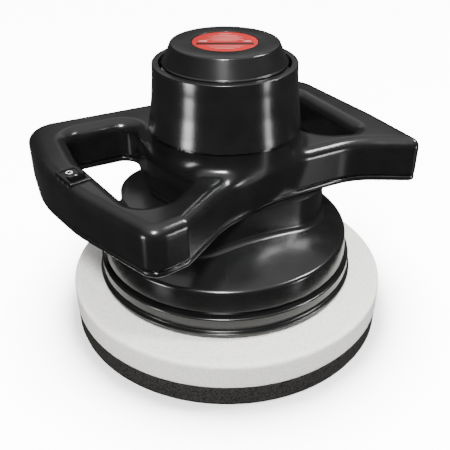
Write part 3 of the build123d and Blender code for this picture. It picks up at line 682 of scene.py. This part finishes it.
def build_switch_marks():
    """An O at the back end of the rocker and an I at the front end, printed on its two slopes."""
    turn = SWITCH_TURN
    pivot = Vector((*SWITCH, ROCKER_PIVOT_Z))
    tilt = radians(-11)
    segments = 40
    along = Vector((-sin(turn) * cos(tilt), cos(turn) * cos(tilt), sin(tilt)))
    side = Vector((cos(turn), sin(turn), 0))
    up = side.cross(along)

    def on_slope(u, v):
        """A point on the rocker's top, u across it and v along it, in millimetres."""
        height = 3.3 + 1.5 * abs(v) / 8.1
        return tuple(pivot + side * u + along * v + up * (height + 0.06))

    ring = [on_slope(r * cos(a), 4.6 + r * sin(a)) for r in (1.5, 2.3)
            for a in [2 * pi * k / segments for k in range(segments)]]
    stroke = [on_slope(u, v) for u, v in ((-0.4, -6.6), (0.4, -6.6), (0.4, -3.2), (-0.4, -3.2))]
    faces = grid_faces(2, segments)
    faces.append(tuple(range(len(ring), len(ring) + len(stroke))))
    marks = add_piece("switch_marks", ring + stroke, faces, "rocker", mark_white, [])
    thick = marks.modifiers.new("ink", "SOLIDIFY")
    thick.thickness = 0.00008
    thick.offset = 0


def bevel_switch():
    """Softens the edges of the switch, which is carried over from the CAD."""
    for node in ("switch_body", "rocker_button"):
        bevel = nodes[node].modifiers.new("round", "BEVEL")
        bevel.width = 0.0003
        bevel.segments = 2
        bevel.limit_method = "ANGLE"
        bevel.angle_limit = radians(40)


# ---- Studio ----

def camera():
    """Looks down at the machine from its front left, as if held at chest height."""
    heading = Vector((*VIEW, 0.0))
    pitch = radians(32.26)
    back_off = 0.432
    height = 0.3408
    data = bpy.data.cameras.new("camera")
    data.lens = 51.9
    data.sensor_width = 36
    obj = bpy.data.objects.new("camera", data)
    obj.location = Vector((0, MOTOR_Y * MM, height)) - back_off * heading
    look = heading * cos(pitch) + Vector((0, 0, -sin(pitch)))
    obj.rotation_euler = look.to_track_quat("-Z", "Y").to_euler()
    bpy.context.scene.collection.objects.link(obj)
    bpy.context.scene.camera = obj


def area_light(name, place, target, size, power):
    """A soft box that faces a target, with its size in metres and its power in watts."""
    data = bpy.data.lights.new(name, "AREA")
    data.shape = "RECTANGLE"
    data.size, data.size_y = size
    data.energy = power
    obj = bpy.data.objects.new(name, data)
    obj.location = place
    obj.rotation_euler = (Vector(target) - Vector(place)).to_track_quat("-Z", "Y").to_euler()
    bpy.context.scene.collection.objects.link(obj)


def build_floor():
    """A white floor that glows evenly, with a painted contact shadow: ambient occlusion dims its glow
    near the machine.
    """
    material, tree, shader = new_material("floor_paper")
    shader.inputs["Roughness"].default_value = 0.9
    shader.inputs["Base Color"].default_value = (0.95, 0.95, 0.95, 1)
    # Painted contact shadow: ambient occlusion near the machine darkens the floor's glow.
    painted_shadow_ao = tree.nodes.new("ShaderNodeAmbientOcclusion")
    painted_shadow_ao.inputs["Distance"].default_value = 0.07
    glow_with_painted_shadow = ramp(tree, painted_shadow_ao.outputs["AO"], grey(0.015), grey(1.0), 0.62, 0.99)
    tree.links.new(glow_with_painted_shadow, shader.inputs["Emission Color"])
    shader.inputs["Emission Strength"].default_value = 11.0
    half = 15.0
    corners = [(-half, -half, 0), (half, -half, 0), (half, half, 0), (-half, half, 0)]
    mesh = bpy.data.meshes.new("floor")
    mesh.from_pydata(corners, [], [(0, 1, 2, 3)])
    mesh.materials.append(material)
    floor = bpy.data.objects.new("floor", mesh)
    bpy.context.scene.collection.objects.link(floor)
    floor.visible_glossy = False
    floor.visible_diffuse = False


def build_sky():
    """A sky that is bright only overhead."""
    world = bpy.data.worlds.new("studio")
    world.use_nodes = True
    tree = world.node_tree
    place = tree.nodes.new("ShaderNodeTexCoord")
    split = tree.nodes.new("ShaderNodeSeparateXYZ")
    tree.links.new(place.outputs["Generated"], split.inputs["Vector"])
    sky = ramp(tree, split.outputs["Z"], grey(0.07), grey(1.3), 0.42, 0.97)
    tree.links.new(sky, tree.nodes["Background"].inputs["Color"])
    tree.nodes["Background"].inputs["Strength"].default_value = 1.0
    bpy.context.scene.world = world


def build_lights():
    """Three soft boxes, and upright strips that draw the highlights down the round mouldings."""
    area_light("key_box", (-0.45, -0.75, 1.15), (0, 0, 0.1), (0.22, 0.22), 34)
    area_light("right_box", (0.75, -0.35, 0.95), (0, 0, 0.1), (0.15, 0.4), 15)
    area_light("back_box", (0.5, 0.95, 0.75), (0, 0, 0.12), (0.9, 0.25), 0.5)
    view_side = atan2(-VIEW[1], -VIEW[0])
    distance = 1.1
    strips = (
        ("left_strip", -54, 0.24, -0.06, 0.14, 5.5),
        ("left_strip_foot", -54, 0.26, -0.5, -0.12, 0.6),
        ("right_strip", 64, 0.13, -0.06, 0.14, 2.4),
        ("right_strip_foot", 64, 0.14, -0.5, -0.12, 0.3),
    )
    for name, turn, width, low, high, power in strips:
        side = view_side + radians(turn)
        place = (distance * cos(side), distance * sin(side), (low + high) / 2)
        area_light(name, place, (0, 0, 0.14), (width, high - low), power)


finish_cad_nodes()
build_pads()
build_turned()
build_drum()
build_handles()
build_label()
build_switch_marks()
bevel_switch()
build_floor()
build_sky()
build_lights()
camera()
